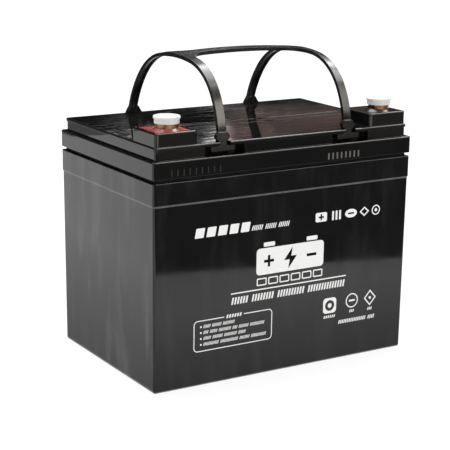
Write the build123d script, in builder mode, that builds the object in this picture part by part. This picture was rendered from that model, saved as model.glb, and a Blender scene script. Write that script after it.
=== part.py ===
from build123d import *
import math
import os

# Deep cycle battery: a sealed 12 V lead-acid block with six cells in a row, two threaded
# terminals at the front corners of the lid and a moulded strap handle.
# Frame: origin at the centre of the footprint, on the surface the battery stands on.
# X runs along the block, the long front face with the terminals above it faces -Y, +Z is up.
# All sizes are in millimetres.

# ---------------------------------------------------------------- driving dimensions
LENGTH = 195.0  # over the lid rim, along X
WIDTH = 130.0  # over the lid rim, along Y
LID_TOP = 155.3  # height of the lid's top face, without terminals and handle

CASE_TOP = 133.8
CASE_LEDGE = 120.2  # height where the thicker collar of the case begins
CASE_BASE_INSET = 1.26  # how far the case's foot stands in from the lid rim
CASE_LEDGE_INSET = 0.62
COLLAR_INSET = 0.23
COLLAR_STEP = 1.4  # height of the sloped step below the collar
STEP_START = 0.05  # how far inside the wall the slope begins
CORNER_RADIUS = 1.8
FOOT_RADIUS = 1.5
COLLAR_ROUND = 0.5
FLOOR = 3.0

CELLS = 6
CELL_LENGTH = 29.4  # inside one cell, along X
CELL_WIDTH = 121.6  # inside one cell, along Y
PARTITION = 2.0
CELL_PITCH = CELL_LENGTH + PARTITION
WELD_DIAMETER = 8.0  # lead welds through the partitions
WELD_HEIGHT = 127.0

RIM_BOTTOM = 136.2
RIM_TOP = 147.1
TIER_WALL_INSET = 2.95
BAND_INSET = 2.44  # the band along the top of the lid's upper tier stands a little proud
BAND_BOTTOM = 153.3
GROOVE_INSET = 2.3  # depth of the dark joint between case and lid
EDGE_ROUND = 0.9

LID_CAVITY_TOP = 144.5
HEAD_SPACE_TOP = 151.8
HEAD_SPACE_LENGTH = 27.0
REAR_HEAD_SPACE = (35.0, 30.0)  # middle and width along Y, behind the valves
FRONT_HEAD_SPACE = (-31.0, 38.0)  # in front of the valves, in the four inner cells
OUTER_HEAD_SPACE = (-21.0, 18.0)  # the same in the two cells below the terminals

BLOCK_LENGTH = 29.3  # terminal blocks, along X
BLOCK_WIDTH = 29.9
BLOCK_TOP = 163.9
BLOCK_CENTRE = (79.65, -46.8)
BLOCK_CORNER = 2.0
BLOCK_WALL = 2.2
WELL_CORNER = 1.2
WELL_FLOOR = 161.5

TERMINAL_X = 80.4
TERMINAL_Y = -50.5
POST_DIAMETER = 13.7
POST_TOP = 171.5
POST_CHAMFER = 0.4
THREAD_DIAMETER = 5.0  # core hole of the M6 thread
THREAD_DEPTH = 12.0
FLANGE_DIAMETER = 18.0
FLANGE_BOTTOM = 153.0
FLANGE_TOP = 156.0
SEAL_POCKET_DIAMETER = 20.0
TAIL_DIAMETER = 8.0
TAIL_BOTTOM = 146.0
PILLAR_DIAMETER = 10.6
PILLAR_TOP = 150.8
PILLAR_BORE = 11.2
RESIN_TOP = 163.5
MENISCUS_TOP = 165.2
MENISCUS_REACH = 2.0
MENISCUS_LIP = 0.2  # thickness of the resin's upper edge against the post

CAP_BOTTOM = 168.0
CAP_TOP = 172.5
CAP_DIAMETER = 15.6
CAP_LIP_DIAMETER = 16.8
CAP_LIP_HEIGHT = 1.5
CAP_ROUND = 0.6
CAP_CLEARANCE = 0.05  # radial, between the cap and the post

VENT_Y = 5.0
VENT_TROUGH = (174.0, 24.0)
TROUGH_FLOOR = 147.5
NOZZLE_DIAMETER = 9.0
NOZZLE_BORE = 4.0
NOZZLE_TOP = 151.5
VALVE_DIAMETER = 12.5
VALVE_TOP = 152.4
VALVE_CLEARANCE = 0.05  # radial, between a valve cap and its nozzle
PAD_DIAMETER = 10.4
COVER_SIZE = (180.0, 30.0)
COVER_GAP = 0.3
COVER_SEAT = 153.9
COVER_TOP = 155.5
COVER_PANEL = (170.0, 12.0)
COVER_PANEL_RISE = 0.3

POCKET_X = (-45.6, 49.6)  # middles of the handle pockets and of the notches above them
POCKET_LENGTH = 28.6
POCKET_DEPTH = 6.0
NOTCH_LENGTH = 7.8
NOTCH_DEPTH = 5.4

STRAP_HALF = 47.5  # distance of each strap arch from the handle's middle
STRAP_WIDTH = 5.8
WEB_THICKNESS = 1.5
RIM_THICKNESS = 2.4  # depth of the lips along both edges of the strap
RIM_WIDTH = 1.1
GRIP_WIDTH = 11.4
GRIP_RISE = 2.6  # how much higher the grip is at its middle than at the arches
ARCH_TOP = 201.8
CROWN_ARC = (129.6, 8.7)  # radius, degrees: from the top of the arch outwards
SHOULDER_ARC = (44.8, 42.5)
LEG_ARC = (60.1, 31.2)
JUNCTION_RADIUS = 13.0
LEAN = 0.065  # sideways lean of the flexible strap, per millimetre of height
LEAN_AT_LID = 0.9
PRISM_HEIGHT = 50.0  # the leaning plan is cut from above the grip down past the lid's top
PRISM_ABOVE = 5.0
FRONT_FEET = (-46.5, 48.5)  # middles of the feet along X
REAR_FEET = (-45.3, 49.7)
FRONT_SHOULDER = ((0.0, 3.2), (2.2, 4.6), (3.6, 4.7), (5.6, 2.9))  # heights over the lid, half widths
REAR_SHOULDER = ((0.0, 5.4), (0.9, 5.4), (4.9, 2.9))
SHOULDER_ROUND = 1.2
FOOT_OUTER = 61.2
FOOT_THICKNESS = 3.6
NECK_WIDTH = 5.0
TAB_WIDTH = 16.8
TAB_BOTTOM = 149.2
TAB_TOP = 152.6

# Plates: five negative and four positive in each cell, with a mat between each pair.
NEGATIVE_THICKNESS = 1.8
POSITIVE_THICKNESS = 2.4
SEPARATOR_THICKNESS = 1.3
PLATE_WIDTH = 118.0
PLATE_BOTTOM = 5.0
PLATE_TOP = 112.0
SEPARATOR_WIDTH = 120.4
SEPARATOR_TOP = 115.0
LUG_WIDTH = 10.0
LUG_TOP = 119.0
LUG_Y = 38.0
STRAP_TOP = 124.0
STRAP_LENGTH = 26.4
STRAP_DEPTH = 16.0
TOMBSTONE_THICKNESS = 3.2
TOMBSTONE_WIDTH = 14.0
TOMBSTONE_TOP = 132.0

CELL_X = [(index - (CELLS - 1) / 2) * CELL_PITCH for index in range(CELLS)]
WELL_SIZE = (BLOCK_LENGTH - 2 * BLOCK_WALL, BLOCK_WIDTH - 2 * BLOCK_WALL)
CUT_MARGIN = 1.0  # how far a cutting tool reaches past the surface it opens


def save(piece, name):
    """Label a finished piece and write it to its own file."""
    piece.part.label = name
    export_step(piece.part, f"parts/{name}.step")


# ---------------------------------------------------------------- case
with BuildPart() as case:
    with BuildSketch(Plane.XY):
        Rectangle(LENGTH - 2 * CASE_BASE_INSET, WIDTH - 2 * CASE_BASE_INSET)
    with BuildSketch(Plane.XY.offset(CASE_LEDGE)):
        Rectangle(LENGTH - 2 * CASE_LEDGE_INSET, WIDTH - 2 * CASE_LEDGE_INSET)
    loft()
    corner_x = LENGTH / 2 - CORNER_RADIUS
    corner_y = WIDTH / 2 - CORNER_RADIUS
    corner_edges = case.edges().filter_by(
        lambda edge: abs(edge.center().X) > corner_x and abs(edge.center().Y) > corner_y
    )
    fillet(corner_edges, CORNER_RADIUS)
    fillet(case.faces().sort_by(Axis.Z)[0].edges(), FOOT_RADIUS)
    # sloped step from the wall out to the collar
    with BuildSketch(Plane.XY.offset(CASE_LEDGE - COLLAR_STEP)):
        step_inset = CASE_LEDGE_INSET + STEP_START
        RectangleRounded(LENGTH - 2 * step_inset, WIDTH - 2 * step_inset, CORNER_RADIUS)
    with BuildSketch(Plane.XY.offset(CASE_LEDGE)):
        RectangleRounded(LENGTH - 2 * COLLAR_INSET, WIDTH - 2 * COLLAR_INSET, CORNER_RADIUS)
    loft()
    with BuildSketch(Plane.XY.offset(CASE_LEDGE)):
        RectangleRounded(LENGTH - 2 * COLLAR_INSET, WIDTH - 2 * COLLAR_INSET, CORNER_RADIUS)
    extrude(amount=CASE_TOP - CASE_LEDGE)
    fillet(case.faces().sort_by(Axis.Z)[-1].edges(), COLLAR_ROUND)
    with BuildSketch(Plane.XY.offset(FLOOR)):
        with Locations([(x, 0) for x in CELL_X]):
            Rectangle(CELL_LENGTH, CELL_WIDTH)
    extrude(amount=CASE_TOP - FLOOR, mode=Mode.SUBTRACT)
    # one hole through each partition, alternately at the back and at the front
    for index in range(CELLS - 1):
        side = 1 if index % 2 == 0 else -1
        middle = CELL_X[index] + CELL_PITCH / 2
        with Locations(Location((middle, side * LUG_Y, WELD_HEIGHT), (0, 90, 0))):
            Cylinder(WELD_DIAMETER / 2, 2 * PARTITION, mode=Mode.SUBTRACT)
save(case, "case")

# ---------------------------------------------------------------- bead of adhesive under the lid
with BuildPart() as lid_adhesive:
    with BuildSketch(Plane.XY.offset(CASE_TOP)):
        RectangleRounded(LENGTH - 2 * GROOVE_INSET, WIDTH - 2 * GROOVE_INSET, CORNER_RADIUS)
        with Locations([(x, 0) for x in CELL_X]):
            Rectangle(CELL_LENGTH, CELL_WIDTH, mode=Mode.SUBTRACT)
    extrude(amount=RIM_BOTTOM - CASE_TOP)
save(lid_adhesive, "lid_adhesive")


# ---------------------------------------------------------------- lid
def lid_body():
    """Outer form of the lid: rim, upper tier with its proud band, and the two terminal blocks."""
    with BuildPart() as body:
        with BuildSketch(Plane.XY.offset(RIM_BOTTOM)):
            RectangleRounded(LENGTH, WIDTH, CORNER_RADIUS)
        extrude(amount=RIM_TOP - RIM_BOTTOM)
        fillet(body.edges().filter_by(GeomType.LINE).group_by(Axis.Z)[-1], EDGE_ROUND)
        with BuildSketch(Plane.XY.offset(RIM_TOP)):
            RectangleRounded(LENGTH - 2 * TIER_WALL_INSET, WIDTH - 2 * TIER_WALL_INSET, CORNER_RADIUS)
        extrude(amount=BAND_BOTTOM - RIM_TOP)
        with BuildSketch(Plane.XY.offset(BAND_BOTTOM)):
            RectangleRounded(LENGTH - 2 * BAND_INSET, WIDTH - 2 * BAND_INSET, CORNER_RADIUS)
        extrude(amount=LID_TOP - BAND_BOTTOM)
        fillet(body.faces().sort_by(Axis.Z)[-1].edges(), EDGE_ROUND)
        block_start = LID_TOP - EDGE_ROUND
        with BuildSketch(Plane.XY.offset(block_start)):
            with Locations([(side * BLOCK_CENTRE[0], BLOCK_CENTRE[1]) for side in (-1, 1)]):
                RectangleRounded(BLOCK_LENGTH, BLOCK_WIDTH, BLOCK_CORNER)
        extrude(amount=BLOCK_TOP - block_start)
        fillet(body.faces().filter_by(Axis.Z).group_by(Axis.Z)[-1].edges(), EDGE_ROUND)
    return body.part


with BuildPart() as lid:
    add(lid_body())
    # open underside over all six cells, with partitions standing between them
    with BuildSketch(Plane.XY.offset(RIM_BOTTOM)):
        with Locations([(x, 0) for x in CELL_X]):
            Rectangle(CELL_LENGTH, CELL_WIDTH)
    extrude(amount=LID_CAVITY_TOP - RIM_BOTTOM, mode=Mode.SUBTRACT)
    # deeper head space behind the valves, and in front of them where no terminal stands
    with BuildSketch(Plane.XY.offset(LID_CAVITY_TOP)):
        for (middle_y, width), cells in (
            (REAR_HEAD_SPACE, CELL_X),
            (FRONT_HEAD_SPACE, CELL_X[1:-1]),
            (OUTER_HEAD_SPACE, (CELL_X[0], CELL_X[-1])),
        ):
            with Locations([(x, middle_y) for x in cells]):
                Rectangle(HEAD_SPACE_LENGTH, width)
    extrude(amount=HEAD_SPACE_TOP - LID_CAVITY_TOP, mode=Mode.SUBTRACT)
    # trough for the valves, and the seat of the cover plate over it
    with BuildSketch(Plane.XY.offset(TROUGH_FLOOR)):
        with Locations((0, VENT_Y)):
            RectangleRounded(*VENT_TROUGH, CORNER_RADIUS)
    extrude(amount=LID_TOP - TROUGH_FLOOR, mode=Mode.SUBTRACT)
    with BuildSketch(Plane.XY.offset(COVER_SEAT)):
        with Locations((0, VENT_Y)):
            RectangleRounded(COVER_SIZE[0] + 2 * COVER_GAP, COVER_SIZE[1] + 2 * COVER_GAP, CORNER_RADIUS)
    extrude(amount=LID_TOP - COVER_SEAT, mode=Mode.SUBTRACT)
    # six valve nozzles, each open to its cell
    with BuildSketch(Plane.XY.offset(TROUGH_FLOOR)):
        with Locations([(x, VENT_Y) for x in CELL_X]):
            Circle(NOZZLE_DIAMETER / 2)
    extrude(amount=NOZZLE_TOP - TROUGH_FLOOR)
    with BuildSketch(Plane.XY.offset(LID_CAVITY_TOP)):
        with Locations([(x, VENT_Y) for x in CELL_X]):
            Circle(NOZZLE_BORE / 2)
    extrude(amount=NOZZLE_TOP - LID_CAVITY_TOP, mode=Mode.SUBTRACT)
    # wells of the terminal blocks, the round pocket of each terminal and the way down
    with BuildSketch(Plane.XY.offset(WELL_FLOOR)):
        with Locations([(side * BLOCK_CENTRE[0], BLOCK_CENTRE[1]) for side in (-1, 1)]):
            RectangleRounded(*WELL_SIZE, WELL_CORNER)
    extrude(amount=BLOCK_TOP - WELL_FLOOR, mode=Mode.SUBTRACT)
    with BuildSketch(Plane.XY.offset(FLANGE_BOTTOM)):
        with Locations([(side * TERMINAL_X, TERMINAL_Y) for side in (-1, 1)]):
            Circle(SEAL_POCKET_DIAMETER / 2)
    extrude(amount=WELL_FLOOR - FLANGE_BOTTOM, mode=Mode.SUBTRACT)
    with BuildSketch(Plane.XY.offset(LID_CAVITY_TOP)):
        with Locations([(side * TERMINAL_X, TERMINAL_Y) for side in (-1, 1)]):
            Circle(PILLAR_BORE / 2)
    extrude(amount=FLANGE_BOTTOM - LID_CAVITY_TOP, mode=Mode.SUBTRACT)
    # pockets for the handle's tabs in both long sides, each with a notch up through the band
    for side in (-1, 1):
        outer_y = WIDTH / 2 - BAND_INSET + CUT_MARGIN
        pocket_width = POCKET_DEPTH + CUT_MARGIN
        notch_width = NOTCH_DEPTH + CUT_MARGIN
        for x in POCKET_X:
            pocket_y = side * (outer_y - pocket_width / 2)
            with Locations((x, pocket_y, (RIM_TOP + BAND_BOTTOM) / 2)):
                Box(POCKET_LENGTH, pocket_width, BAND_BOTTOM - RIM_TOP, mode=Mode.SUBTRACT)
            notch_y = side * (outer_y - notch_width / 2)
            with Locations((x, notch_y, LID_TOP)):
                Box(NOTCH_LENGTH, notch_width, 2 * (LID_TOP - BAND_BOTTOM), mode=Mode.SUBTRACT)
save(lid, "lid")

# ---------------------------------------------------------------- cover plate and valves
with BuildPart() as top_cover:
    with BuildSketch(Plane.XY.offset(COVER_SEAT)):
        with Locations((0, VENT_Y)):
            RectangleRounded(*COVER_SIZE, CORNER_RADIUS)
    extrude(amount=COVER_TOP - COVER_SEAT)
    with BuildSketch(Plane.XY.offset(COVER_TOP)):
        with Locations((0, VENT_Y)):
            RectangleRounded(*COVER_PANEL, CORNER_RADIUS)
    extrude(amount=COVER_PANEL_RISE)
save(top_cover, "top_cover")

for index, x in enumerate(CELL_X):
    with BuildPart() as valve:
        with BuildSketch(Plane.XY.offset(TROUGH_FLOOR)):
            with Locations((x, VENT_Y)):
                Circle(VALVE_DIAMETER / 2)
        extrude(amount=VALVE_TOP - TROUGH_FLOOR)
        fillet(valve.edges().group_by(Axis.Z)[-1], EDGE_ROUND)
        with BuildSketch(Plane.XY.offset(TROUGH_FLOOR)):
            with Locations((x, VENT_Y)):
                Circle(NOZZLE_DIAMETER / 2 + VALVE_CLEARANCE)
        extrude(amount=NOZZLE_TOP - TROUGH_FLOOR, mode=Mode.SUBTRACT)
    save(valve, f"valve_cap_{index + 1}")

with BuildPart() as vent_pads:
    with BuildSketch(Plane.XY.offset(VALVE_TOP)):
        with Locations([(x, VENT_Y) for x in CELL_X]):
            Circle(PAD_DIAMETER / 2)
    extrude(amount=COVER_SEAT - VALVE_TOP)
save(vent_pads, "vent_pads")

# ---------------------------------------------------------------- terminals, seals and caps
for name, side in (("positive", -1), ("negative", 1)):
    centre = (side * TERMINAL_X, TERMINAL_Y)

    with BuildPart() as terminal:
        with BuildSketch(Plane.XY.offset(TAIL_BOTTOM)):
            with Locations(centre):
                Circle(TAIL_DIAMETER / 2)
        extrude(amount=FLANGE_BOTTOM - TAIL_BOTTOM)
        with BuildSketch(Plane.XY.offset(FLANGE_BOTTOM)):
            with Locations(centre):
                Circle(FLANGE_DIAMETER / 2)
        extrude(amount=FLANGE_TOP - FLANGE_BOTTOM)
        with BuildSketch(Plane.XY.offset(FLANGE_TOP)):
            with Locations(centre):
                Circle(POST_DIAMETER / 2)
        extrude(amount=POST_TOP - FLANGE_TOP)
        chamfer(terminal.edges().group_by(Axis.Z)[-1], POST_CHAMFER)
        with BuildSketch(Plane.XY.offset(POST_TOP)):
            with Locations(centre):
                Circle(THREAD_DIAMETER / 2)
        extrude(amount=-THREAD_DEPTH, mode=Mode.SUBTRACT)
    save(terminal, f"terminal_{name}")

    with BuildPart() as ring:
        ring_radius = (PILLAR_BORE + TAIL_DIAMETER) / 4
        ring_section = (PILLAR_BORE - TAIL_DIAMETER) / 4
        with Locations((*centre, (PILLAR_TOP + FLANGE_BOTTOM) / 2)):
            Torus(ring_radius, ring_section)
    save(ring, f"terminal_ring_{name}")

    with BuildPart() as resin:
        with BuildSketch(Plane.XY.offset(WELL_FLOOR)):
            with Locations((side * BLOCK_CENTRE[0], BLOCK_CENTRE[1])):
                RectangleRounded(*WELL_SIZE, WELL_CORNER)
        extrude(amount=RESIN_TOP - WELL_FLOOR)
        with BuildSketch(Plane.XY.offset(FLANGE_TOP)):
            with Locations(centre):
                Circle(SEAL_POCKET_DIAMETER / 2)
        extrude(amount=WELL_FLOOR - FLANGE_TOP)
        with Locations((*centre, (RESIN_TOP + MENISCUS_TOP) / 2)):
            post_radius = POST_DIAMETER / 2
            Cone(post_radius + MENISCUS_REACH, post_radius + MENISCUS_LIP, MENISCUS_TOP - RESIN_TOP)
        with BuildSketch(Plane.XY.offset(FLANGE_TOP)):
            with Locations(centre):
                Circle(POST_DIAMETER / 2)
        extrude(amount=MENISCUS_TOP - FLANGE_TOP + CUT_MARGIN, mode=Mode.SUBTRACT)
    save(resin, f"resin_{name}")

    with BuildPart() as pillar:
        with BuildSketch(Plane.XY.offset(STRAP_TOP)):
            with Locations(centre):
                Circle(PILLAR_DIAMETER / 2)
        extrude(amount=PILLAR_TOP - STRAP_TOP)
        with BuildSketch(Plane.XY.offset(TAIL_BOTTOM)):
            with Locations(centre):
                Circle(TAIL_DIAMETER / 2)
        extrude(amount=PILLAR_TOP - TAIL_BOTTOM, mode=Mode.SUBTRACT)
    save(pillar, f"pillar_{name}")

    with BuildPart() as cap:
        with BuildSketch(Plane.XY.offset(CAP_BOTTOM)):
            with Locations(centre):
                Circle(CAP_DIAMETER / 2)
        extrude(amount=CAP_TOP - CAP_BOTTOM)
        with BuildSketch(Plane.XY.offset(CAP_TOP - CAP_LIP_HEIGHT)):
            with Locations(centre):
                Circle(CAP_LIP_DIAMETER / 2)
        extrude(amount=CAP_LIP_HEIGHT)
        fillet(cap.edges().group_by(Axis.Z)[-1], CAP_ROUND)
        with BuildSketch(Plane.XY.offset(CAP_BOTTOM)):
            with Locations(centre):
                Circle(POST_DIAMETER / 2 + CAP_CLEARANCE)
        extrude(amount=POST_TOP - CAP_BOTTOM, mode=Mode.SUBTRACT)
    save(cap, f"terminal_cap_{name}")

# ---------------------------------------------------------------- cells
BAY = NEGATIVE_THICKNESS + POSITIVE_THICKNESS + 2 * SEPARATOR_THICKNESS  # one repeat of the stack
STACK = 4 * BAY + NEGATIVE_THICKNESS


def stack_places(cell_x, first, count, step):
    """Middles along X of equally spaced plates, measured from the stack's left end."""
    return [cell_x - STACK / 2 + first + index * step for index in range(count)]


def plate_set(places, thickness, lug_y):
    """Equal plates side by side, each with a lug on top."""
    with BuildPart() as plates:
        with BuildSketch(Plane.XY.offset(PLATE_BOTTOM)):
            with Locations([(x, 0) for x in places]):
                Rectangle(thickness, PLATE_WIDTH)
        extrude(amount=PLATE_TOP - PLATE_BOTTOM)
        with BuildSketch(Plane.XY.offset(PLATE_TOP)):
            with Locations([(x, lug_y) for x in places]):
                Rectangle(thickness, LUG_WIDTH)
        extrude(amount=LUG_TOP - PLATE_TOP)
    return plates


def lead_strap(cell_x, lug_y, wall_side, reaches_terminal):
    """Strap across a set of lugs: with a tombstone at one partition, or reaching the pillar."""
    outer_y = math.copysign(LUG_Y + STRAP_DEPTH / 2, lug_y)
    inner_y = math.copysign(LUG_Y - STRAP_DEPTH / 2, lug_y)
    if reaches_terminal:
        outer_y = TERMINAL_Y - PILLAR_DIAMETER / 2
    with BuildPart() as strap:
        with Locations((cell_x, (outer_y + inner_y) / 2, (LUG_TOP + STRAP_TOP) / 2)):
            Box(STRAP_LENGTH, abs(outer_y - inner_y), STRAP_TOP - LUG_TOP)
        if not reaches_terminal:
            wall_x = cell_x + wall_side * (CELL_LENGTH / 2 - TOMBSTONE_THICKNESS / 2)
            with Locations((wall_x, lug_y, (LUG_TOP + TOMBSTONE_TOP) / 2)):
                Box(TOMBSTONE_THICKNESS, TOMBSTONE_WIDTH, TOMBSTONE_TOP - LUG_TOP)
    return strap


for index, cell_x in enumerate(CELL_X):
    number = index + 1
    positive_y = -LUG_Y if index % 2 == 0 else LUG_Y
    positive_first = NEGATIVE_THICKNESS + SEPARATOR_THICKNESS + POSITIVE_THICKNESS / 2
    positive_places = stack_places(cell_x, positive_first, 4, BAY)
    negative_places = stack_places(cell_x, NEGATIVE_THICKNESS / 2, 5, BAY)
    left_mat = NEGATIVE_THICKNESS + SEPARATOR_THICKNESS / 2
    right_mat = BAY - SEPARATOR_THICKNESS / 2
    mat_places = stack_places(cell_x, left_mat, 4, BAY) + stack_places(cell_x, right_mat, 4, BAY)

    save(plate_set(positive_places, POSITIVE_THICKNESS, positive_y), f"positive_plates_{number}")
    save(plate_set(negative_places, NEGATIVE_THICKNESS, -positive_y), f"negative_plates_{number}")

    with BuildPart() as separators:
        with BuildSketch(Plane.XY.offset(FLOOR)):
            with Locations([(x, 0) for x in mat_places]):
                Rectangle(SEPARATOR_THICKNESS, SEPARATOR_WIDTH)
        extrude(amount=SEPARATOR_TOP - FLOOR)
    save(separators, f"separators_{number}")

    save(lead_strap(cell_x, positive_y, -1, index == 0), f"positive_strap_{number}")
    save(lead_strap(cell_x, -positive_y, 1, index == CELLS - 1), f"negative_strap_{number}")

with BuildPart() as cell_welds:
    for index in range(CELLS - 1):
        side = 1 if index % 2 == 0 else -1
        middle = CELL_X[index] + CELL_PITCH / 2
        with Locations(Location((middle, side * LUG_Y, WELD_HEIGHT), (0, 90, 0))):
            Cylinder(WELD_DIAMETER / 2, PARTITION)
save(cell_welds, "cell_welds")


# ---------------------------------------------------------------- handle
def arch_section(depth):
    """Closed band in the YZ plane: the arch's outer line and a parallel line inside it."""
    with BuildSketch(Plane.YZ) as section:
        with BuildLine():
            outer = half_arch(0)
            inner = half_arch(depth)
            Line(outer[0], inner[0])
            Line(outer[1], inner[1])
        make_face()
        mirror(about=Plane.YZ)
    return section.sketch


def half_arch(inset):
    """Three tangent arcs from the top of the arch out and down one leg; returns both ends."""
    start = (0, ARCH_TOP - inset)
    top = start
    direction = (1, 0)
    for radius, sweep_angle in (CROWN_ARC, SHOULDER_ARC, LEG_ARC):
        arc = JernArc(start, direction, radius - inset, -sweep_angle)
        start = arc @ 1
        direction = arc % 1
    return top, start


def handle_sheet(depth):
    """The arch band carried along the grip's shallow curve without turning."""
    half_span = STRAP_HALF + STRAP_WIDTH
    with BuildPart() as sheet:
        with BuildLine(Plane.XZ) as crown:
            ThreePointArc(
                (-half_span, ARCH_TOP),
                (0, ARCH_TOP + GRIP_RISE),
                (half_span, ARCH_TOP),
            )
        section = arch_section(depth).moved(Location((-half_span, 0, 0)))
        sweep(sections=section, path=crown.line, normal=(1, 0, 0))
    return sheet.part


def handle_outline(inset):
    """Plan of the handle: two straps joined by the grip, with wide rounded junctions."""
    reach = WIDTH / 2
    with BuildSketch() as plan:
        Rectangle(2 * STRAP_HALF, GRIP_WIDTH)
        with Locations((-STRAP_HALF, 0), (STRAP_HALF, 0)):
            Rectangle(STRAP_WIDTH, 2 * reach)
        inner_x = STRAP_HALF - STRAP_WIDTH / 2
        corners = plan.vertices().filter_by(lambda v: math.isclose(abs(v.X), inner_x))
        fillet(corners.filter_by(lambda v: abs(v.Y) < GRIP_WIDTH), JUNCTION_RADIUS)
        if inset:
            offset(amount=-inset)
    return plan.sketch


def handle_prism(inset):
    """The handle's plan carried down along its lean."""
    top = ARCH_TOP + PRISM_ABOVE
    lean_at_top = LEAN_AT_LID + LEAN * (top - LID_TOP)
    with BuildPart() as prism:
        with BuildSketch(Plane.XY.offset(top)):
            add(handle_outline(inset).moved(Location((lean_at_top, 0, 0))))
        extrude(amount=PRISM_HEIGHT, dir=(-LEAN, 0, -1))
    return prism.part


def shoulder_outline(profile):
    """Symmetric outline through pairs of height and half width, with its widest corners rounded."""
    right = [(half_width, height) for height, half_width in profile]
    left = [(-x, y) for x, y in reversed(right)]
    with BuildSketch() as outline:
        Polygon(*right, *left, align=None)
        wide = outline.vertices().filter_by(lambda v: v.Y > 0 and abs(v.X) > STRAP_WIDTH / 2 + SHOULDER_ROUND)
        fillet(wide, SHOULDER_ROUND)
    return outline.sketch


with BuildPart() as handle:
    # strap and grip: a thin web with lips along all its edges, open underneath
    add(handle_sheet(RIM_THICKNESS))
    add(handle_prism(0), mode=Mode.INTERSECT)
    underside = (handle_sheet(RIM_THICKNESS + 1) & handle_prism(RIM_WIDTH)) - handle_sheet(WEB_THICKNESS)
    add(underside, mode=Mode.SUBTRACT)
    # four feet: shoulders on the lid, a neck through the notch and a tab under the band
    for side, feet, profile in ((-1, FRONT_FEET, FRONT_SHOULDER), (1, REAR_FEET, REAR_SHOULDER)):
        for x in feet:
            face = Plane(origin=(x, side * FOOT_OUTER, LID_TOP), x_dir=(-side, 0, 0), z_dir=(0, side, 0))
            with BuildSketch(face):
                add(shoulder_outline(profile))
                with Locations((0, (TAB_TOP - LID_TOP) / 2)):
                    Rectangle(NECK_WIDTH, LID_TOP - TAB_TOP)
                with Locations((0, (TAB_TOP + TAB_BOTTOM) / 2 - LID_TOP)):
                    Rectangle(TAB_WIDTH, TAB_TOP - TAB_BOTTOM)
            extrude(amount=-FOOT_THICKNESS)
save(handle, "handle")
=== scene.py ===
import math

import bpy
from mathutils import Matrix, Vector


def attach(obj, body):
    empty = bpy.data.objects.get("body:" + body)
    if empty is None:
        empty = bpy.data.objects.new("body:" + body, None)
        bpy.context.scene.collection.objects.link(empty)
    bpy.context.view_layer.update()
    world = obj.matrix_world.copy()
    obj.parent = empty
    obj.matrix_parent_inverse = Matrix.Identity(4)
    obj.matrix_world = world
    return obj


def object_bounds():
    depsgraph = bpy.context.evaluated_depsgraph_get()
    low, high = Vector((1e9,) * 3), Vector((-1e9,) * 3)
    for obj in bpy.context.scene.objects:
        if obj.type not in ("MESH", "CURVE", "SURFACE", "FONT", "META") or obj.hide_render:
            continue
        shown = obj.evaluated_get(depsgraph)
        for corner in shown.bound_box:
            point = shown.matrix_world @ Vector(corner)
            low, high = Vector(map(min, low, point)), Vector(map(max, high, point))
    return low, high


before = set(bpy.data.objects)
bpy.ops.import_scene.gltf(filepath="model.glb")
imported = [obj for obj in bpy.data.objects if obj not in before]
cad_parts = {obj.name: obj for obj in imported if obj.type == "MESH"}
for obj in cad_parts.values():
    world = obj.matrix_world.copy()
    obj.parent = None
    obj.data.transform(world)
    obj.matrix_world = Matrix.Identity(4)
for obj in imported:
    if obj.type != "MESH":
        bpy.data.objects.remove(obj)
CAD_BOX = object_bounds()

MM = 0.001


def place_object(name, data):
    """A new object in the scene, at its origin."""
    placed = bpy.data.objects.new(name, data)
    bpy.context.scene.collection.objects.link(placed)
    return placed


# ---------------------------------------------------------------- shader helpers
NOISE_RANGE = (0.3, 0.7)  # nearly all of a noise's values lie in it


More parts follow.
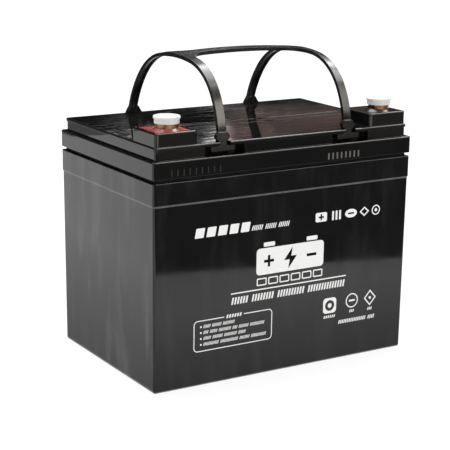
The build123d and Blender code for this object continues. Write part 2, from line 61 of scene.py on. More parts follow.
class Nodes:
    """Adds nodes to one material, made anew; places are metres in the row's frame."""

    def __init__(self, material):
        material.use_nodes = True
        self.material = material
        self.tree = material.node_tree
        self.tree.nodes.clear()
        self.surface = self.node("OutputMaterial").inputs["Surface"]
        self.place = self.node("TexCoord").outputs["Object"]

    def node(self, kind):
        return self.tree.nodes.new("ShaderNode" + kind)

    def feed(self, socket, value):
        """Gives a socket a number, a colour, a vector or another node's output."""
        if isinstance(value, bpy.types.NodeSocket):
            self.tree.links.new(value, socket)
        elif socket.type == "RGBA":
            socket.default_value = (*value, 1.0)
        else:
            socket.default_value = value

    def noise(self, size, detail=3.0, stretch=(1, 1, 1), distortion=0.0):
        """Noise whose lumps are about `size` metres across; stretch above 1 squeezes an axis."""
        mapping = self.node("Mapping")
        self.feed(mapping.inputs["Scale"], stretch)
        self.feed(mapping.inputs["Vector"], self.place)
        node = self.node("TexNoise")
        self.feed(node.inputs["Vector"], mapping.outputs["Vector"])
        self.feed(node.inputs["Scale"], 1.0 / size)
        self.feed(node.inputs["Detail"], detail)
        self.feed(node.inputs["Distortion"], distortion)
        return node.outputs["Fac"]

    def cell_borders(self, size):
        """Distance to the nearest border between cells of about `size` metres."""
        node = self.node("TexVoronoi")
        node.feature = "DISTANCE_TO_EDGE"
        self.feed(node.inputs["Scale"], 1.0 / size)
        self.feed(node.inputs["Vector"], self.place)
        return node.outputs["Distance"]

    def remap(self, value, low, high, new_low, new_high):
        """Turns low..high into new_low..new_high, and stays at those ends beyond them."""
        node = self.node("MapRange")
        self.feed(node.inputs["Value"], value)
        self.feed(node.inputs["From Min"], low)
        self.feed(node.inputs["From Max"], high)
        self.feed(node.inputs["To Min"], new_low)
        self.feed(node.inputs["To Max"], new_high)
        return node.outputs["Result"]

    def math(self, operation, *values):
        node = self.node("Math")
        node.operation = operation
        for socket, value in zip(node.inputs, values):
            self.feed(socket, value)
        return node.outputs[0]

    def product(self, result, *others):
        for other in others:
            result = self.math("MULTIPLY", result, other)
        return result

    def total(self, result, *others):
        for other in others:
            result = self.math("ADD", result, other)
        return result

    def near(self, value, middle, reach):
        """1 where the value is within reach of the middle, 0 elsewhere."""
        return self.math("COMPARE", value, middle, reach)

    def mix(self, factor, dark, light):
        """Colour between two colours or colour outputs."""
        node = self.node("Mix")
        node.data_type = "RGBA"
        self.feed(node.inputs["Factor"], factor)
        self.feed(node.inputs[6], dark)  # the colour sockets share their names with other types'
        self.feed(node.inputs[7], light)
        return node.outputs[2]

    def axis(self, index, vector=None):
        """One coordinate of a vector, or else of the place."""
        node = self.node("SeparateXYZ")
        self.feed(node.inputs[0], vector or self.place)
        return node.outputs[index]

    def facing(self, index):
        """1 on faces that look along an axis, such as level ones for axis 2, and 0 on the others."""
        normal = self.node("TexCoord").outputs["Normal"]
        return self.remap(self.math("ABSOLUTE", self.axis(index, normal)), 0.5, 0.95, 0.0, 1.0)


class Shader(Nodes):
    """One Principled material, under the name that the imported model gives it."""

    def __init__(self, name, **settings):
        """The settings are the same all over, and go on the shader's own sockets."""
        super().__init__(bpy.data.materials.get(name) or bpy.data.materials.new(name))
        principled = self.node("BsdfPrincipled")
        self.feed(self.surface, principled.outputs[0])
        self.inputs = principled.inputs
        self.relief = None
        for label, value in settings.items():
            self.feed(self.inputs[label.replace("_", " ")], value)

    def link(self, output, label):
        self.feed(self.inputs[label], output)

    def colour(self, factor, dark, light):
        self.link(self.mix(factor, dark, light), "Base Color")

    def roughness(self, noise, smooth, rough):
        self.link(self.remap(noise, *NOISE_RANGE, smooth, rough), "Roughness")

    def soft_edges(self, radius):
        """Rounds the shading over edges, as on moulded plastic, before any relief is added."""
        node = self.node("Bevel")
        node.samples = 6
        self.feed(node.inputs["Radius"], radius)
        self.relief = node.outputs["Normal"]

    def bump(self, height, depth):
        """Adds relief of about `depth` metres to what is there already."""
        node = self.node("Bump")
        self.feed(node.inputs["Distance"], depth)
        self.feed(node.inputs["Height"], height)
        if self.relief is not None:
            self.feed(node.inputs["Normal"], self.relief)
        self.relief = node.outputs["Normal"]
        self.link(self.relief, "Normal")


class Glow(Nodes):
    """A plain material that gives light, whose colour and strength may be fed by other nodes."""

    def __init__(self, name, colour=(1, 1, 1), strength=1.0):
        super().__init__(bpy.data.materials.new(name))
        emission = self.node("Emission")
        self.feed(self.surface, emission.outputs[0])
        self.colour, self.strength = emission.inputs["Color"], emission.inputs["Strength"]
        self.feed(self.colour, colour)
        self.feed(self.strength, strength)


# ---------------------------------------------------------------- materials
PLASTIC_IOR = 1.37  # low, so that walls seen square on stay black and those seen aslant turn grey
PLASTIC_EDGE = 0.35 * MM

CASE_BLACKS = ((0.0035, 0.0035, 0.0037), (0.0062, 0.0062, 0.0064))
FILM_GREY = (0.040, 0.040, 0.0388)
FRONT_FILM = 0.22  # strength of the film on the long walls, against 1 on the ends
# colour of the painted highlight lines on the ledge and the foot
HIGHLIGHT_GREY = (0.22, 0.22, 0.215)
LEDGE_MIDDLE, LEDGE_HALF = 119.4 * MM, 0.6 * MM  # the ledge below the collar, whose rounded edge gets a painted highlight line
# strength of the painted highlight on the ledge
LEDGE_HIGHLIGHT = 0.30
FOOT_HIGHLIGHT = (0.4 * MM, 1.3 * MM)  # the painted highlight strip along the rounded lower edge fades out between these heights


def handling_film(s):
    """Upright streaks of dried film on the walls."""
    streaks = s.remap(s.noise(10 * MM, 5.0, (1, 1, 0.2)), 0.48, 0.72, 0.0, 0.9)
    return s.product(streaks, s.remap(s.facing(0), 0.0, 1.0, FRONT_FILM, 1.0))


def painted_highlight_lines(s):
    """Painted highlights: patchy pale lines on the ledge below the collar and along the foot, where
    these rounded edges would catch the light.
    """
    height = s.axis(2)
    ledge = s.near(height, LEDGE_MIDDLE, LEDGE_HALF)
    foot = s.remap(height, *FOOT_HIGHLIGHT, 1.0, 0.0)
    patches = s.remap(s.noise(6 * MM, 4.0), 0.35, 0.6, 0.5, 1.0)
    return s.product(s.total(s.product(ledge, LEDGE_HIGHLIGHT), foot), patches)


def case_plastic():
    """Glossy black ABS with broad sink marks running up the walls, haze, film and scuffs, and painted
    highlight lines on the ledge and along the foot.
    """
    s = Shader("case_plastic", IOR=PLASTIC_IOR)
    s.soft_edges(PLASTIC_EDGE)
    haze = s.noise(18 * MM, 4.0)
    scuffs = s.noise(2.5 * MM, 6.0, (1, 1, 6))
    dusty = s.mix(handling_film(s), s.mix(haze, *CASE_BLACKS), FILM_GREY)
    # painted highlight lines on the ledge and foot lighten the base colour
    s.colour(painted_highlight_lines(s), dusty, HIGHLIGHT_GREY)
    grime = s.product(s.remap(scuffs, 0.58, 0.75, 0.0, 1.0), s.remap(haze, 0.45, 0.7, 0.0, 1.0))
    polish = s.remap(haze, *NOISE_RANGE, 0.05, 0.10)
    s.link(s.total(polish, s.product(grime, 0.14)), "Roughness")
    s.bump(s.noise(34 * MM, 1.0, (1, 1, 0.12)), 0.22 * MM)
    s.bump(s.noise(1.1 * MM, 2.0), 0.004 * MM)


# Rows of jet-printed ticks on the front of the lid's rim: low and high x in mm, how many,
# the share of the pitch that is ink, and the ink's strength.
TICK_ROWS = ((-87.0, -48.5, 9, 0.20, 0.22), (29.0, 56.0, 8, 0.36, 1.0))
TICK_MIDDLE, TICK_HALF = 139.5 * MM, 2.1 * MM  # height of the rows, and half a tick's height
TICK_GREYS = ((0.05, 0.047, 0.04), (0.15, 0.14, 0.12))
TICK_ROUGHNESS = 0.4
INK_FACE = 0.3 * MM  # how far behind the front of the rim the ink still shows
LID_BLACKS = ((0.0035, 0.0034, 0.0034), (0.0068, 0.0064, 0.0063))


def rim_ticks(s):
    """1 where there is full ink on the front of the lid's rim, 0 where there is none."""
    x, y, z = (s.axis(i) for i in range(3))
    face = s.product(s.near(z, TICK_MIDDLE, TICK_HALF), s.math("LESS_THAN", y, CAD_BOX[0].y + INK_FACE))
    rows = []
    for low, high, count, share, strength in TICK_ROWS:
        within = s.near(x, (low + high) / 2 * MM, (high - low) / 2 * MM)
        place = s.math("FRACT", s.remap(x, low * MM, high * MM, 0.0, count))
        rows.append(s.product(within, s.near(place, 0.5, share / 2), strength))
    return s.product(face, s.total(*rows))


def lid_plastic():
    """The same ABS with a mirror finish whose flow lines ripple along the lid's length."""
    s = Shader("lid_plastic", IOR=PLASTIC_IOR)
    s.soft_edges(PLASTIC_EDGE)
    haze = s.noise(14 * MM, 4.0)
    ripple = s.noise(9 * MM, 3.0, (0.22, 1.4, 0.5), 0.6)
    smear = s.noise(3.2 * MM, 5.0, (0.3, 1.5, 1))
    ticks = rim_ticks(s)
    ink = s.mix(s.noise(0.7 * MM, 4.0), *TICK_GREYS)
    s.colour(ticks, s.mix(haze, *LID_BLACKS), ink)
    polish = s.remap(haze, *NOISE_RANGE, 0.012, 0.03)
    smeared = s.remap(smear, 0.55, 0.75, 0.0, 0.03)
    s.link(s.total(polish, smeared, s.product(ticks, TICK_ROUGHNESS)), "Roughness")
    s.bump(s.product(ripple, s.facing(2)), 0.035 * MM)
    s.bump(s.noise(30 * MM, 1.0, (0.5, 0.5, 1)), 0.10 * MM)
    s.bump(s.noise(1.3 * MM, 2.0), 0.0008 * MM)


def handle_plastic():
    """Satin black polypropylene with a fine moulded grain."""
    s = Shader("handle_plastic", IOR=1.41)
    s.soft_edges(0.45 * MM)
    haze = s.noise(11 * MM, 4.0)
    s.colour(haze, (0.0045, 0.0045, 0.0046), (0.0095, 0.0093, 0.0090))
    s.roughness(haze, 0.15, 0.24)
    s.bump(s.noise(7 * MM, 2.0, (1, 0.3, 0.3)), 0.05 * MM)
    s.bump(s.noise(0.5 * MM, 2.0), 0.012 * MM)


def adhesive():
    """Matt black sealant in the joint, with the slight lumps of a poured bead."""
    s = Shader("adhesive", IOR=1.3)
    lumps = s.noise(4 * MM, 3.0)
    s.colour(lumps, (0.001, 0.001, 0.001), (0.004, 0.004, 0.004))
    s.roughness(lumps, 0.45, 0.7)
    s.bump(lumps, 0.15 * MM)


def cap_plastic():
    """Milky polyethylene, faintly cloudy, with light passing into it."""
    s = Shader("cap_plastic", IOR=1.51, Subsurface_Weight=0.45, Subsurface_Scale=1.5 * MM,
               Subsurface_Radius=(1.0, 0.95, 0.9))
    cloud = s.noise(2.6 * MM, 4.0)
    s.colour(cloud, (0.58, 0.585, 0.58), (0.66, 0.665, 0.66))
    s.roughness(cloud, 0.24, 0.36)
    s.bump(s.noise(1.4 * MM, 2.0, (1, 1, 0.3)), 0.02 * MM)


def terminal_brass():
    """Turned brass with lathe marks round the post and a darker, oxidised patina in places."""
    s = Shader("terminal_brass", Metallic=1.0)
    patina = s.noise(3.0 * MM, 5.0)
    s.colour(s.remap(patina, 0.4, 0.62, 0.0, 1.0), (0.19, 0.09, 0.042), (0.44, 0.245, 0.125))
    s.roughness(patina, 0.2, 0.38)
    s.bump(s.noise(0.35 * MM, 1.0, (0.05, 0.05, 1)), 0.01 * MM)


def resin(name, deep, bright):
    """Poured sealing epoxy: glassy, with slow swirls and a rippled skin."""
    s = Shader(name, IOR=1.45, Coat_Weight=0.25, Coat_Roughness=0.04)
    swirl = s.noise(3.4 * MM, 4.0, distortion=1.2)
    s.colour(swirl, deep, bright)
    s.roughness(swirl, 0.08, 0.2)
    s.bump(s.noise(2.4 * MM, 2.0), 0.2 * MM)
    s.bump(s.noise(0.9 * MM, 3.0), 0.14 * MM)


def lead():
    """Cast lead: dull blue grey, oxidised in blotches."""
    s = Shader("lead", Metallic=0.85)
    blotch = s.noise(2.5 * MM, 5.0)
    s.colour(blotch, (0.16, 0.165, 0.18), (0.36, 0.37, 0.40))
    s.roughness(blotch, 0.38, 0.65)
    s.bump(blotch, 0.08 * MM)


def plate(name, dark, light):
    """Pasted active material on a cast grid."""
    s = Shader(name, IOR=1.5)
    grid = s.remap(s.cell_borders(6 * MM), 0.0, 0.06, 1.0, 0.0)
    paste = s.noise(1.2 * MM, 6.0)
    s.colour(paste, dark, light)
    s.roughness(paste, 0.75, 0.95)
    s.bump(s.total(paste, grid), 0.06 * MM)


def glass_mat():
    """Compressed glass fibre felt, soaked and slightly uneven."""
    s = Shader("glass_mat", Sheen_Weight=0.3, Sheen_Roughness=0.6)
    fibre = s.noise(0.6 * MM, 6.0, (1, 0.25, 1), 0.8)
    s.colour(fibre, (0.55, 0.55, 0.53), (0.78, 0.78, 0.76))
    s.roughness(fibre, 0.8, 0.95)
    s.bump(fibre, 0.08 * MM)


def rubber(name, dark, light):
    """Moulded rubber with a dusty bloom."""
    s = Shader(name, IOR=1.5)
    bloom = s.noise(1.8 * MM, 5.0)
    s.colour(bloom, dark, light)
    s.roughness(bloom, 0.5, 0.75)
    s.bump(bloom, 0.02 * MM)


def felt():
    """Pressed grey felt pad."""
    s = Shader("felt", Sheen_Weight=0.4, Sheen_Roughness=0.5)
    fibre = s.noise(0.5 * MM, 6.0, (1, 0.4, 1), 1.0)
    s.colour(fibre, (0.18, 0.18, 0.17), (0.36, 0.36, 0.34))
    s.roughness(fibre, 0.85, 1.0)
    s.bump(fibre, 0.1 * MM)


def print_ink():
    """Printed white ink: flat, slightly mottled, thin enough to keep a soft sheen."""
    s = Shader("print_ink", IOR=1.5)
    mottle = s.noise(0.8 * MM, 5.0)
    s.colour(mottle, (0.70, 0.70, 0.69), (0.84, 0.84, 0.83))
    s.roughness(mottle, 0.4, 0.6)
    s.bump(mottle, 0.01 * MM)
    return s.material


def make_materials():
    case_plastic()
    lid_plastic()
    handle_plastic()
    adhesive()
    cap_plastic()
    terminal_brass()
    resin("resin_positive", (0.21, 0.028, 0.023), (0.40, 0.085, 0.068))
    resin("resin_negative", (0.002, 0.002, 0.0025), (0.005, 0.005, 0.006))
    lead()
    plate("positive_plate", (0.045, 0.018, 0.011), (0.11, 0.05, 0.03))
    plate("negative_plate", (0.12, 0.125, 0.13), (0.25, 0.255, 0.26))
    glass_mat()
    rubber("valve_rubber", (0.012, 0.012, 0.012), (0.03, 0.03, 0.03))
    rubber("seal_rubber", (0.010, 0.010, 0.010), (0.025, 0.025, 0.026))
    felt()


# ---------------------------------------------------------------- outlines of the print, in mm
ARC_STEPS, DISC_STEPS = 8, 40


def arc(cx, cy, rx, ry, start, end, steps=ARC_STEPS):
    """Points on an ellipse's arc, angles in degrees anticlockwise from +x."""
    angles = [math.radians(start + (end - start) * i / steps) for i in range(steps + 1)]
    return [(cx + rx * math.cos(a), cy + ry * math.sin(a)) for a in angles]


def disc(cx, cy, rx, ry=None):
    return arc(cx, cy, rx, ry or rx, 0, 360, DISC_STEPS)[:-1]


def box(cx, cy, width, height, radius=0.0, slant=0.0):
    """A box with rounded corners, leaning right by `slant` at its top."""
    w, h = width / 2 - radius, height / 2 - radius
    points = []
    for x, y, turn in ((w, h, 0), (-w, h, 90), (-w, -h, 180), (w, -h, 270)):
        points += arc(x, y, radius, radius, turn, turn + 90) if radius else [(x, y)]
    return [(cx + x + slant * (y / height), cy + y) for x, y in points]


def strokes(x0, x1, y0, height, words, share, slant=0.3):
    """A row of short slanted strokes in groups, `words` giving the strokes of each group."""
    gap = 1.2  # between two groups, in strokes
    pitch = (x1 - x0) / (sum(words) + gap * (len(words) - 1))
    outlines, x = [], x0
    for count in words:
        for _ in range(count):
            middle = (x + pitch / 2, y0 + height / 2)
            outlines.append(box(*middle, pitch * share, height, slant=slant * height))
            x += pitch
        x += pitch * gap
    return outlines


def diamond(cx, cy, rx, ry):
    return [(cx + rx, cy), (cx, cy + ry), (cx - rx, cy), (cx, cy - ry)]


def plus(cx, cy, size, arm):
    a, b = size / 2, arm / 2
    half = [(b, a), (b, b), (a, b), (a, -b), (b, -b), (b, -a)]
    return [(cx + x, cy + y) for x, y in half + [(-x, -y) for x, y in half]]


def bolt(cx, cy, width, height):
    """A plain lightning flash."""
    shape = ((0.16, 0.5), (-0.5, -0.08), (-0.06, -0.08), (-0.16, -0.5), (0.5, 0.08), (0.06, 0.08))
    return [(cx + x * width, cy + y * height) for x, y in shape]


def broken_frame(cx, cy, width, height, radius, line, gap_left, gap_right):
    """A rounded outline with an opening in its top edge, as one closed band."""
    def loop(offset):
        r, w, h = radius + offset, width / 2 - radius, height / 2 - radius
        top = cy + height / 2 + offset
        points = [(gap_left, top)]
        for x, y, turn in ((-w, h, 90), (-w, -h, 180), (w, -h, 270), (w, h, 0)):
            points += arc(cx + x, cy + y, r, r, turn, turn + 90)
        return points + [(gap_right, top)]

    return loop(line / 2) + loop(-line / 2)[::-1]


# ---------------------------------------------------------------- layout of the print
# Millimetres on the front wall: x along it from its middle, y up from the base. A row of strokes is
# its low x, high x, base, height, strokes in each group, share of ink, and lean if not the usual one.
TITLE_LEFT, TITLE_BOTTOM, TITLE_HEIGHT = -67.6, 96.8, 6.2
TITLE_BLOCKS, TITLE_WIDTH, TITLE_GAP = 5, 6.3, 2.0
RATING = (-26.6, 2.0, 97.0, 3.2, (6, 6, 6), 0.55)
MARKS_MIDDLE, MARK_HEIGHT = TITLE_BOTTOM + TITLE_HEIGHT / 2 - 0.3, 6.2
SIGN_MIDDLE = (3.4, 75.6)
SIGN_SIZE = (52.0, 17.5)
POLE_OFFSET = 16.5  # of the signs and posts from the middle of the battery sign
CELL_COUNT, CELL_PITCH, CELL_MIDDLE = 6, 8.7, 62.3
CELL_SIZE, CELL_LINE = (7.5, 5.0), 0.8
RULE = (3.4, 57.4, 89.4, 0.8)
LINE = (-41.0, 47.4, 50.2, 4.6, (6, 8, 10, 14), 0.58, 0.2)
NOTE_FRAME = (-39.0, 33.0, 58.0, 20.0, 2.6, 0.6, -46.0, -31.4)
NOTE_HEADING = (-44.6, -32.8, 42.0, 2.2, (6,), 0.6)
NOTE_DOT, NOTE_LEFT = -63.0, -61.2
NOTE_LINES = ((38.0, (6, 8, 10), 23.0), (34.1, (4, 6, 10, 4, 8, 12), 45.5),
              (30.2, (6, 8, 10, 6), 31.5), (26.3, (12, 14, 8, 12), 47.0))  # base, groups, length
SYMBOLS = ((35.8, 38.3), (53.9, 39.2), (68.9, 39.0))
SYMBOL_CAPTIONS = ((31.0, 40.6, 29.7, 1.8, (6,), 0.6), (52.0, 56.0, 31.0, 1.9, (3,), 0.6),
                   (67.0, 71.0, 30.4, 1.9, (3,), 0.6))
FOOTER = (43.2, 73.2, 24.3, 2.5, (16, 4), 0.6)


def title_blocks():
    middle = TITLE_BOTTOM + TITLE_HEIGHT / 2
    first = TITLE_LEFT + TITLE_WIDTH / 2
    pitch = TITLE_WIDTH + TITLE_GAP
    return [box(first + i * pitch, middle, TITLE_WIDTH, TITLE_HEIGHT, 0.5, 1.2)
            for i in range(TITLE_BLOCKS)]


def round_marks():
    """A plus in a box, three bars, a minus in an oval, a diamond and a ring."""
    y, height = MARKS_MIDDLE, MARK_HEIGHT
    outlines = [box(26.7, y, 9.0, height, 1.2), plus(26.7, y, 4.2, 1.2)]
    outlines += [box(36.0 + 2.8 * i, y, 1.5, height, 0.4) for i in range(3)]
    outlines += [disc(50.5, y, 4.8, 2.9), box(50.5, y, 5.0, 1.1, 0.4)]
    outlines += [diamond(61.4, y, 3.9, 3.3), diamond(61.4, y, 2.5, 2.1)]
    outlines += [disc(70.9, y, radius) for radius in (3.4, 2.6, 1.1)]
    return outlines


def battery_sign():
    """A plain battery with its two posts, a plus, a flash and a minus."""
    (x, y), (width, height) = SIGN_MIDDLE, SIGN_SIZE
    post = y + height / 2 + 2.3
    outlines = [box(x, y, width, height, 2.6), bolt(x, y, 10.0, 14.5)]
    outlines += [box(x + side * POLE_OFFSET, post, 8.5, 2.8, 0.7) for side in (-1, 1)]
    outlines += [plus(x - POLE_OFFSET, y, 7.6, 1.9), box(x + POLE_OFFSET, y, 7.6, 1.9)]
    return outlines


def cell_row():
    width, height = CELL_SIZE
    outlines = []
    for i in range(CELL_COUNT):
        middle = (SIGN_MIDDLE[0] + (i - (CELL_COUNT - 1) / 2) * CELL_PITCH, CELL_MIDDLE)
        outlines.append(box(*middle, width, height, 0.8))
        outlines.append(box(*middle, width - 2 * CELL_LINE, height - 2 * CELL_LINE, 0.3))
    return outlines


def note_lines():
    outlines = strokes(*NOTE_HEADING)
    for base, words, length in NOTE_LINES:
        outlines.append(disc(NOTE_DOT, base + 1.0, 0.65))
        outlines += strokes(NOTE_LEFT, NOTE_LEFT + length, base, 2.1, words, 0.5)
    return outlines


def symbols():
    """A ring in a box, a minus in a ring and a dot in a diamond, each with a row of strokes."""
    first, second, third = SYMBOLS
    outlines = [box(*first, 10.6, 10.6, 2.4), disc(*first, 3.7), disc(*first, 1.6)]
    outlines += [disc(*second, 5.0), disc(*second, 4.2), box(*second, 5.0, 1.2, 0.4)]
    outlines += [diamond(*third, 5.0, 5.6), diamond(*third, 3.8, 4.3), disc(*third, 1.0)]
    for caption in SYMBOL_CAPTIONS:
        outlines += strokes(*caption)
    return outlines


# ---------------------------------------------------------------- the print on the wall
INK_THICKNESS = 0.06 * MM
INK_SINK = 0.02 * MM
WALL_SAMPLES = (20 * MM, 110 * MM)  # heights that give the slope of the case's front wall


def wall_point(height):
    """Where the case's front wall is at this height, half way along it."""
    start = Vector((0, CAD_BOX[0].y - 10 * MM, height))
    hit, place, _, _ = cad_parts["case"].ray_cast(start, Vector((0, 1, 0)))
    assert hit, "no front wall here"
    return place


def wall_frame():
    """Matrix from the print's own flat layout (x along the wall, y up it, z outwards) to the row."""
    low, high = (wall_point(height) for height in WALL_SAMPLES)
    up = (high - low).normalized()
    along = Vector((1, 0, 0))
    out = along.cross(up)
    origin = low - up * (low.z / up.z) + out * (INK_THICKNESS / 2 - INK_SINK)
    return Matrix.Translation(origin) @ Matrix((along, up, out)).transposed().to_4x4()


def ink_piece(name, outlines, place, ink):
    """Thin raised ink from closed outlines; an outline inside another is a hole."""
    curve = bpy.data.curves.new(name, "CURVE")
    curve.dimensions = "2D"
    curve.fill_mode = "BOTH"
    curve.extrude = INK_THICKNESS / 2
    for outline in outlines:
        spline = curve.splines.new("POLY")
        spline.points.add(len(outline) - 1)
        for point, (x, y) in zip(spline.points, outline):
            point.co = (x * MM, y * MM, 0, 1)
        spline.use_cyclic_u = True
    holder = place_object(name + "_outline", curve)
    mesh = bpy.data.meshes.new_from_object(holder)
    bpy.data.objects.remove(holder)
    mesh.name = name
    mesh.transform(place)
    mesh.materials.clear()
    mesh.materials.append(ink)
    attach(place_object(name, mesh), "battery")


def print_front():
    pieces = {
        "print_title": title_blocks(),
        "print_rating": strokes(*RATING),
        "print_marks": round_marks(),
        "print_emblem": battery_sign(),
        "print_cells": cell_row(),
        "print_rule": [box(*RULE)],
        "print_line": strokes(*LINE),
        "print_note_frame": [broken_frame(*NOTE_FRAME)],
        "print_note_lines": note_lines(),
        "print_symbols": symbols(),
        "print_footer": strokes(*FOOTER),
    }
    place, ink = wall_frame(), print_ink()
    for name, outlines in pieces.items():
        ink_piece(name, outlines, place, ink)


# ---------------------------------------------------------------- studio
LEFT, FRONT = CAD_BOX[0].x, CAD_BOX[0].y  # the block's left end and front face
FLOOR_REACH = 12.0
FLOOR_GREYS = ((0.15, 0.15, 0.15), (0.16, 0.16, 0.16))
FLOOR_GLOW = 0.85  # keeps the shadow on the floor faint, as on a lit table
CARD_HEIGHT = 2 * MM  # of the cards that lie on the floor

# The lit table as glossy faces mirror it
FRONT_TABLE_LEVEL = 1.9
SIDE_TABLE_LEVEL = 1.5
TABLE_SHADE = 0.5  # how much dimmer the table is against the block's foot
SHADE_REACH = 0.13

# What the front face mirrors beyond the table: a dark gap, then the warm floor. Distances are from
# the front face, and a slant is how much its edge's distance grows for each metre of x.
CARD_SPAN = (-1.9, 1.1)  # low and high x
DARK_NEAR, DARK_NEAR_SLANT = 0.230, -0.25
DARK_FAR, DARK_FAR_SLANT = 0.74, -0.02
DARK_LEVEL = 0.14
WARM_FAR = 1.5
WARM_TINT, PALE_TINT = (1.0, 0.87, 0.70), (0.97, 0.97, 0.97)
TINT_FADE = (0.84, 0.94)  # how far out the floor turns from the warm tint to the pale one
PALE_SHARE = 0.72  # and how bright it is there, against the warm part
WARM_FADE = (0.46, 0.58)  # between these x its level goes down
WARM_LEVELS = (3.7, 1.2)

# Dark patches on the warm floor, one mirrored by the front of each terminal block: the x of the
# right and left corners at the near edge, and of the left and right ones at the far edge.
PATCHES = {
    "patch_left": ((0.307, 0.225), (0.343, 0.434)),
    "patch_right": ((0.603, 0.523), (0.690, 0.780)),
}
PATCH_NEAR, PATCH_FAR = 0.62, 0.84
PATCH_TINT, PATCH_LEVEL = (1.0, 0.95, 0.88), 0.35

SIDE_CARD_X, SIDE_CARD_Y = (-1.5, -0.43), (0.75, 1.5)
SIDE_CARD_LEVEL = 0.5
FRONT_CARD_FADE = (0.60, 0.86)  # between these x the bright front card grows dimmer
FRONT_CARD_LEVELS = (9.4, 5.8)


def quad(name, corners, material):
    """A flat four-cornered part of the studio."""
    mesh = bpy.data.meshes.new(name)
    mesh.from_pydata(corners, [], [(0, 1, 2, 3)])
    mesh.materials.append(material)
    card = place_object(name, mesh)
    return card


def reflection_only(card):
    """Hides a part of the studio from everything but reflections."""
    card.visible_camera = False
    card.visible_diffuse = False
    card.visible_shadow = False
    card.visible_transmission = False
    card.visible_volume_scatter = False


def mirrored_card(glow, corners):
    """A card that only shows in reflections, under the name of its material."""
    reflection_only(quad(glow.material.name, corners, glow.material))


def level_corners(outline, height):
    return [(x, y, height) for x, y in outline]


def floor():
    s = Shader("studio_floor", IOR=1.3, Roughness=0.85, Specular_IOR_Level=0.2,
               Emission_Color=(1.0, 1.0, 1.0), Emission_Strength=FLOOR_GLOW)
    s.colour(s.noise(0.4, 2.0), *FLOOR_GREYS)
    r = FLOOR_REACH
    quad("floor", level_corners([(-r, -r), (r, -r), (r, r), (-r, r)], 0), s.material)


def table_card(name, outline, level, axis, edge):
    """The lit table as glossy faces mirror it, dimmer close to the block's edge on one axis."""
    glow = Glow(name)
    shade = glow.remap(glow.axis(axis), edge - SHADE_REACH, edge, level, level * TABLE_SHADE)
    glow.feed(glow.strength, shade)
    mirrored_card(glow, level_corners(outline, CARD_HEIGHT / 2))


def table_cards():
    r = FLOOR_REACH
    front_outline = [(-r, -r), (r, -r), (r, FRONT), (-r, FRONT)]
    side_outline = [(-r, FRONT), (LEFT, FRONT), (LEFT, r), (-r, r)]
    rear_outline = [(LEFT, FRONT), (r, FRONT), (r, r), (LEFT, r)]
    table_card("front_table", front_outline, FRONT_TABLE_LEVEL, 1, FRONT)
    table_card("side_table", side_outline, SIDE_TABLE_LEVEL, 0, LEFT)
    rear = Glow("rear_table", strength=SIDE_TABLE_LEVEL)
    mirrored_card(rear, level_corners(rear_outline, CARD_HEIGHT / 2))


def floor_cards():
    """The dark gap beyond the table's edge that the front face mirrors, and the warm floor past it."""
    low, high = CARD_SPAN
    near = [(x, FRONT - DARK_NEAR - DARK_NEAR_SLANT * x) for x in (high, low)]
    far = [(x, FRONT - DARK_FAR - DARK_FAR_SLANT * x) for x in (low, high)]
    end = [(x, FRONT - WARM_FAR) for x in (low, high)]
    mirrored_card(Glow("dark_card", strength=DARK_LEVEL), level_corners(far + near, CARD_HEIGHT))
    warm = Glow("warm_card")
    pale = warm.remap(warm.axis(1), FRONT - TINT_FADE[0], FRONT - TINT_FADE[1], 0.0, 1.0)
    level = warm.remap(warm.axis(0), *WARM_FADE, *WARM_LEVELS)
    warm.feed(warm.colour, warm.mix(pale, WARM_TINT, PALE_TINT))
    warm.feed(warm.strength, warm.product(level, warm.remap(pale, 0.0, 1.0, 1.0, PALE_SHARE)))
    mirrored_card(warm, level_corners(end + far[::-1], CARD_HEIGHT))


def block_patches():
    for name, (near, far) in PATCHES.items():
        outline = [(x, FRONT - PATCH_NEAR) for x in near] + [(x, FRONT - PATCH_FAR) for x in far]
        mirrored_card(Glow(name, PATCH_TINT, PATCH_LEVEL), level_corners(outline, CARD_HEIGHT + MM))


def side_card():
    """A grey card on the floor to the left, mirrored by the ends of the lid's upper tier."""
    (low_x, high_x), (low_y, high_y) = SIDE_CARD_X, SIDE_CARD_Y
    outline = [(low_x, low_y), (high_x, low_y), (high_x, high_y), (low_x, high_y)]
    mirrored_card(Glow("side_card", strength=SIDE_CARD_LEVEL), level_corners(outline, CARD_HEIGHT))


def high_card(glow, middle, half_width, half_height):
    """A bright card up in the studio, facing the block."""
    middle = Vector(middle)
    out = middle.normalized()
    side = Vector((0, 0, 1)).cross(out).normalized() * half_width
    up = out.cross(side).normalized() * half_height
    mirrored_card(glow, [middle - side - up, middle + side - up, middle + side + up, middle - side + up])


def high_cards():
    """What the handle's bends and the rounded edges mirror."""
    front = Glow("front_card", (1.0, 0.95, 0.87))
    front.feed(front.strength, front.remap(front.axis(0), *FRONT_CARD_FADE, *FRONT_CARD_LEVELS))
    high_card(front, (0.75, -1.15, 1.0), 0.65, 0.40)
    high_card(Glow("bend_card", (1.0, 0.98, 0.94), 10.0), (0.95, -0.15, 1.5), 0.35, 0.30)
    high_card(Glow("junction_card", strength=16.0), (0.9, 0.5, 1.35), 0.28, 0.22)


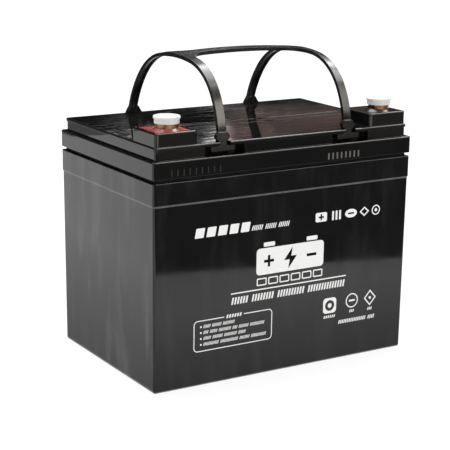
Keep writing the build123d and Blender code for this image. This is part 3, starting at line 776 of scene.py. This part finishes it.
# ---------------------------------------------------------------- the backdrop that the lid mirrors
BACKDROP_SIDES = 48
BACKDROP_RADIUS = 1.6
BACKDROP_TOP = 1.15
REAR_EDGE_SLOPE = 0.102  # rise is height + slope * x, about 0.481 where the rear edge is mirrored
RAGGED = 0.09  # how far the brownish field's left edge frays, in metres
RAGGED_FOOT = 0.25  # and its foot, as a share of that
BROWN_LEFT_EDGE = (0.815, 0.85)  # where the field fades in along X
BROWN_FOOT = (0.488, 0.503)  # and along the rise
BROWN_SINK = (0.500, 0.540)  # it grows dimmer upwards between these
BROWN_SHARES = (1.1, 0.5)  # from this share of its level to this one
BROWN_LEVEL = 0.205
STREAK_BANDS, STREAK_LEVEL = (0.52, 0.60), 0.85
GLINT_BANDS, GLINT_LEVEL = (0.34, 0.40), 3.0
STREAK_RISE = (0.64, 0.78)  # the streaks grow brighter between these places along X
STREAK_LEAST = 0.3
REAR_STRIP = (0.486, 0.500)  # the dark strip next to the rear edge ends between these rises
REAR_STRIP_SHARE = 0.12  # how much of the streaks is left in it
FIELD_SHARE = 0.12  # and in the brownish field
STREAK_TINT, BROWN_TINT = (1.0, 0.98, 0.97), (1.0, 0.70, 0.67)


def brown_field(glow, x, rise):
    """1 in the brownish field on the right, 0 outside its ragged edges."""
    fray = glow.noise(0.05, 4.0, (0.3, 0.3, 3.0))
    ragged = glow.product(glow.math("SUBTRACT", fray, 0.5), RAGGED)
    right = glow.remap(glow.total(x, ragged), *BROWN_LEFT_EDGE, 0.0, 1.0)
    above = glow.remap(glow.total(rise, glow.product(ragged, RAGGED_FOOT)), *BROWN_FOOT, 0.0, 1.0)
    return glow.product(right, above)


def brown_strength(glow, field, rise):
    cloud = glow.remap(glow.noise(0.06, 4.0, (0.5, 0.5, 2.0)), *NOISE_RANGE, 0.6, 1.25)
    return glow.product(field, cloud, BROWN_LEVEL, glow.remap(rise, *BROWN_SINK, *BROWN_SHARES))


def streak_strength(glow, field, x, rise):
    """Thin level streaks with brighter glints, calm in the brownish field and by the rear edge."""
    bands = glow.noise(0.10, 6.0, (0.55, 0.55, 9.0), 0.4)
    glints = glow.noise(0.02, 3.0, (0.5, 0.5, 4.0))
    streaks = glow.remap(bands, *STREAK_BANDS, 0.0, STREAK_LEVEL)
    glint = glow.remap(glow.product(glints, bands), *GLINT_BANDS, 0.0, GLINT_LEVEL)
    lively = glow.remap(x, *STREAK_RISE, STREAK_LEAST, 1.0)
    off_strip = glow.remap(rise, *REAR_STRIP, REAR_STRIP_SHARE, 1.0)
    off_field = glow.remap(field, 0.0, 1.0, 1.0, FIELD_SHARE)
    return glow.product(glow.total(streaks, glint), lively, off_strip, off_field)


def streaked_glow(name):
    """Nearly black, with a brownish field on the right and thin level streaks."""
    glow = Glow(name)
    x = glow.axis(0)
    rise = glow.total(glow.axis(2), glow.product(x, REAR_EDGE_SLOPE))
    field = brown_field(glow, x, rise)
    strength = glow.total(brown_strength(glow, field, rise), streak_strength(glow, field, x, rise))
    glow.feed(glow.colour, glow.mix(field, STREAK_TINT, BROWN_TINT))
    glow.feed(glow.strength, strength)
    return glow


def dark_backdrop():
    """A round dim wall about the block, seen only by its glossy faces."""
    points, faces = [], []
    for i in range(BACKDROP_SIDES):
        angle = math.tau * i / BACKDROP_SIDES
        x, y = BACKDROP_RADIUS * math.cos(angle), BACKDROP_RADIUS * math.sin(angle)
        points += [(x, y, 2 * CARD_HEIGHT), (x, y, BACKDROP_TOP)]
        j = (i + 1) % BACKDROP_SIDES
        faces.append((2 * i, 2 * j, 2 * j + 1, 2 * i + 1))
    mesh = bpy.data.meshes.new("dark_backdrop")
    mesh.from_pydata(points, [], faces)
    mesh.materials.append(streaked_glow("dark_backdrop").material)
    wall = place_object("dark_backdrop", mesh)
    reflection_only(wall)


# ---------------------------------------------------------------- light
SKY_LEVEL = 1.02
SOFTBOX_PLACE, SOFTBOX_AIM = Vector((0.1, 0.4, 1.4)), Vector((0, 0, 0.1))
SOFTBOX_SIZE = (1.2, 0.9)
SOFTBOX_WATTS = 26


def sky():
    world = bpy.data.worlds.new("studio")
    bpy.context.scene.world = world
    world.use_nodes = True
    background = world.node_tree.nodes["Background"]
    background.inputs["Color"].default_value = (1, 1, 1, 1)
    background.inputs["Strength"].default_value = SKY_LEVEL


def softbox():
    light = bpy.data.lights.new("top_softbox", "AREA")
    light.shape = "RECTANGLE"
    light.size, light.size_y = SOFTBOX_SIZE
    light.energy = SOFTBOX_WATTS
    holder = place_object("top_softbox", light)
    holder.location = SOFTBOX_PLACE
    holder.rotation_euler = (SOFTBOX_AIM - SOFTBOX_PLACE).to_track_quat("-Z", "Y").to_euler()
    holder.visible_camera = False


def make_studio():
    sky()
    softbox()
    floor()
    table_cards()
    floor_cards()
    block_patches()
    side_card()
    high_cards()
    dark_backdrop()


# ---------------------------------------------------------------- camera
AZIMUTH = math.radians(-31.525)  # round the block from straight in front
ELEVATION = math.radians(13.957)
ROLL = math.radians(0.725)
DISTANCE = 0.95594
AIM_HEIGHT = 78 * MM
SLIDE_RIGHT, SLIDE_UP = -5.944 * MM, 5.336 * MM
LENS, SENSOR = 112.43, 36.0
CLIP_START, CLIP_END = 0.05, 60.0


def place_camera():
    camera = bpy.data.cameras.new("camera")
    camera.lens, camera.sensor_width = LENS, SENSOR
    camera.clip_start, camera.clip_end = CLIP_START, CLIP_END
    back = Vector((
        math.sin(AZIMUTH) * math.cos(ELEVATION),
        -math.cos(AZIMUTH) * math.cos(ELEVATION),
        math.sin(ELEVATION),
    ))
    level_right = Vector((math.cos(AZIMUTH), math.sin(AZIMUTH), 0))
    level_up = back.cross(level_right)
    right = level_right * math.cos(ROLL) + level_up * math.sin(ROLL)
    up = level_up * math.cos(ROLL) - level_right * math.sin(ROLL)
    place = Vector((0, 0, AIM_HEIGHT)) + back * DISTANCE + right * SLIDE_RIGHT + up * SLIDE_UP
    turn = Matrix((right, up, back)).transposed().to_4x4()
    holder = place_object("camera", camera)
    holder.matrix_world = Matrix.Translation(place) @ turn
    bpy.context.scene.camera = holder
    bpy.context.scene.view_settings.view_transform = "Standard"


make_materials()
print_front()
make_studio()
place_camera()
